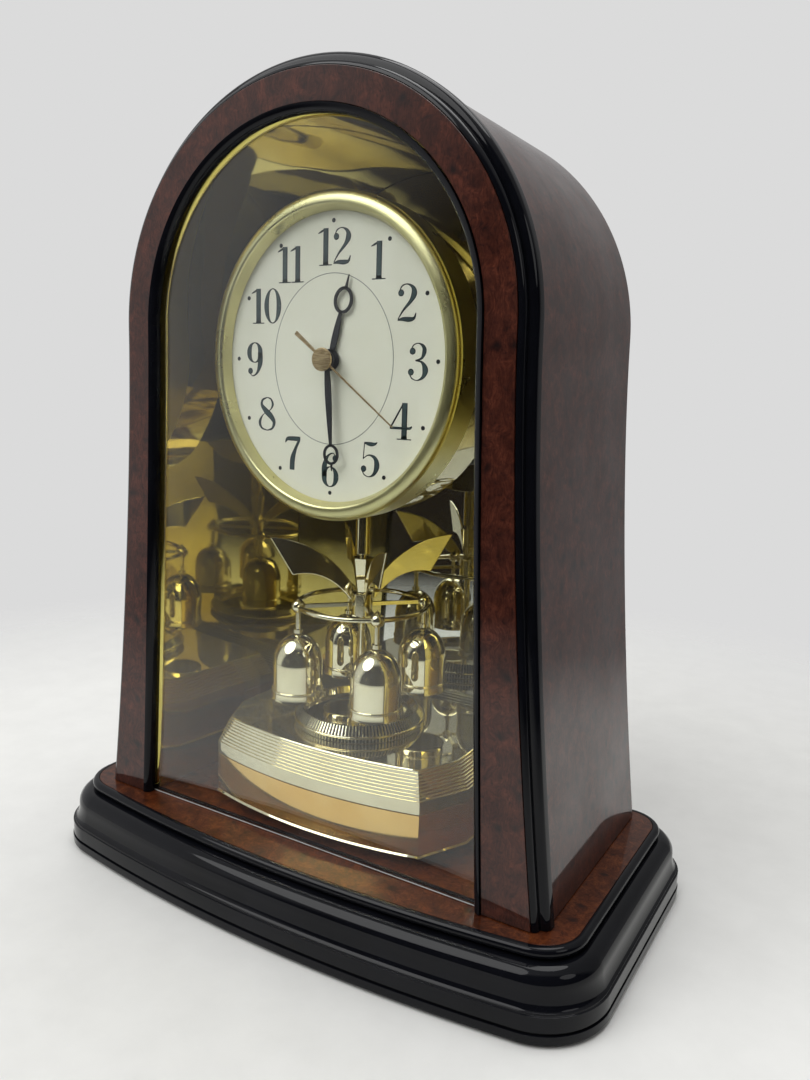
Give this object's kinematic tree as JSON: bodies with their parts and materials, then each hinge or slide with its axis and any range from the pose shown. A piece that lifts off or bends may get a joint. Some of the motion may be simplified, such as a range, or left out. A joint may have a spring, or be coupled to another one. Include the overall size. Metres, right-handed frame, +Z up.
{
  "type": "rotating pendulum clock",
  "caption": "Arched mantel clock in burl veneer on a black moulded plinth, with an oval dial above turning bells on a gilt pedestal, in a mirror-lined case behind glass.",
  "frame": {"origin": "centre of the plinth in plan, on the floor plane under the foot pads, on the pendulum's axis", "axes": "+Z up along the pendulum's axis, +X to the right seen from the front, -Y towards the viewer"},
  "size_m": [0.2634, 0.148, 0.33],
  "materials": {
    "burl": "red-brown burl veneer under gloss lacquer",
    "board_burl": "orange-brown burl veneer under gloss lacquer",
    "black_gloss": "black gloss lacquer",
    "hardboard": "plain brown hardboard",
    "felt": "black felt",
    "glass": "clear float glass",
    "mirror": "gold-tinted mirror",
    "gold_plating": "moulded plastic with bright pale gold plating",
    "brass": "polished, pale gold plating",
    "satin_gold": "satin gold anodised",
    "dial": "matt cream print ground",
    "hand": "blue-black lacquer",
    "bronze": "satin bronze",
    "steel": "zinc-plated",
    "black_plastic": "fine matt moulded",
    "cell": "plain printed sleeve"
  },
  "bodies": {
    "clock_case": {"plinth_moulding": "black_gloss", "plinth_top": "black_gloss", "top_veneer": "board_burl", "base_board": "hardboard", "foot_pad_1": "felt", "foot_pad_2": "felt", "foot_pad_3": "felt", "foot_pad_4": "felt", "case_shell": "burl", "front_frame": "burl", "corner_moulding": "black_gloss", "window_bead": "black_gloss", "front_glass": "glass", "glass_sill": "black_gloss", "mirror_lining": "mirror", "back_mirror": "mirror", "back_board": "hardboard", "back_screw_1": "steel", "back_screw_2": "steel", "back_screw_3": "steel", "back_screw_4": "steel", "bezel": "satin_gold", "dial": "dial", "dial_housing": "gold_plating", "movement_case": "black_plastic", "battery_1": "cell", "battery_2": "cell", "column": "brass", "pedestal_riser": "black_plastic", "pedestal_fascia": "gold_plating", "pedestal_cap": "gold_plating", "deck_screw_left": "black_plastic", "deck_screw_right": "black_plastic", "collar": "gold_plating", "drive_motor": "steel"},
    "pendulum": {"hub": "brass", "spindle": "brass", "pendulum_ring": "brass", "leaf_1": "brass", "leaf_2": "brass", "leaf_3": "brass", "leaf_4": "brass", "bell_hanger_1": "brass", "bell_hanger_2": "brass", "bell_hanger_3": "brass", "bell_hanger_4": "brass", "bell_1": "brass", "bell_2": "brass", "bell_3": "brass", "bell_4": "brass"},
    "minute_hand": {"minute_hand": "hand", "minute_arbor": "steel", "setting_knob": "black_plastic"},
    "hour_hand": {"hour_hand": "hand"},
    "second_hand": {"second_hand": "bronze", "hand_cap": "brass"},
    "battery_cover": {"battery_cover": "black_plastic"}
  },
  "joints": [
    {"name": "pendulum_spin", "type": "hinge", "parent": "clock_case", "child": "pendulum", "pos_m": [0, 0, 0.1], "axis": [0, 0, 1], "continuous": true},
    {"name": "minute_hand_spin", "type": "hinge", "parent": "clock_case", "child": "minute_hand", "pos_m": [0, -0.0286, 0.2249], "axis": [0, 1, 0], "continuous": true},
    {"name": "hour_hand_spin", "type": "hinge", "parent": "clock_case", "child": "hour_hand", "pos_m": [0, -0.0264, 0.2249], "axis": [0, 1, 0], "continuous": true},
    {"name": "second_hand_spin", "type": "hinge", "parent": "clock_case", "child": "second_hand", "pos_m": [0, -0.0308, 0.2249], "axis": [0, 1, 0], "continuous": true},
    {"name": "battery_cover_lift", "type": "slide", "parent": "clock_case", "child": "battery_cover", "axis": [0, 1, 0], "range_m": [0, 0.02]}
  ],
  "couplings": [
    {"joint": "hour_hand_spin", "follows": "minute_hand_spin", "ratio": 0.083333}
  ]
}
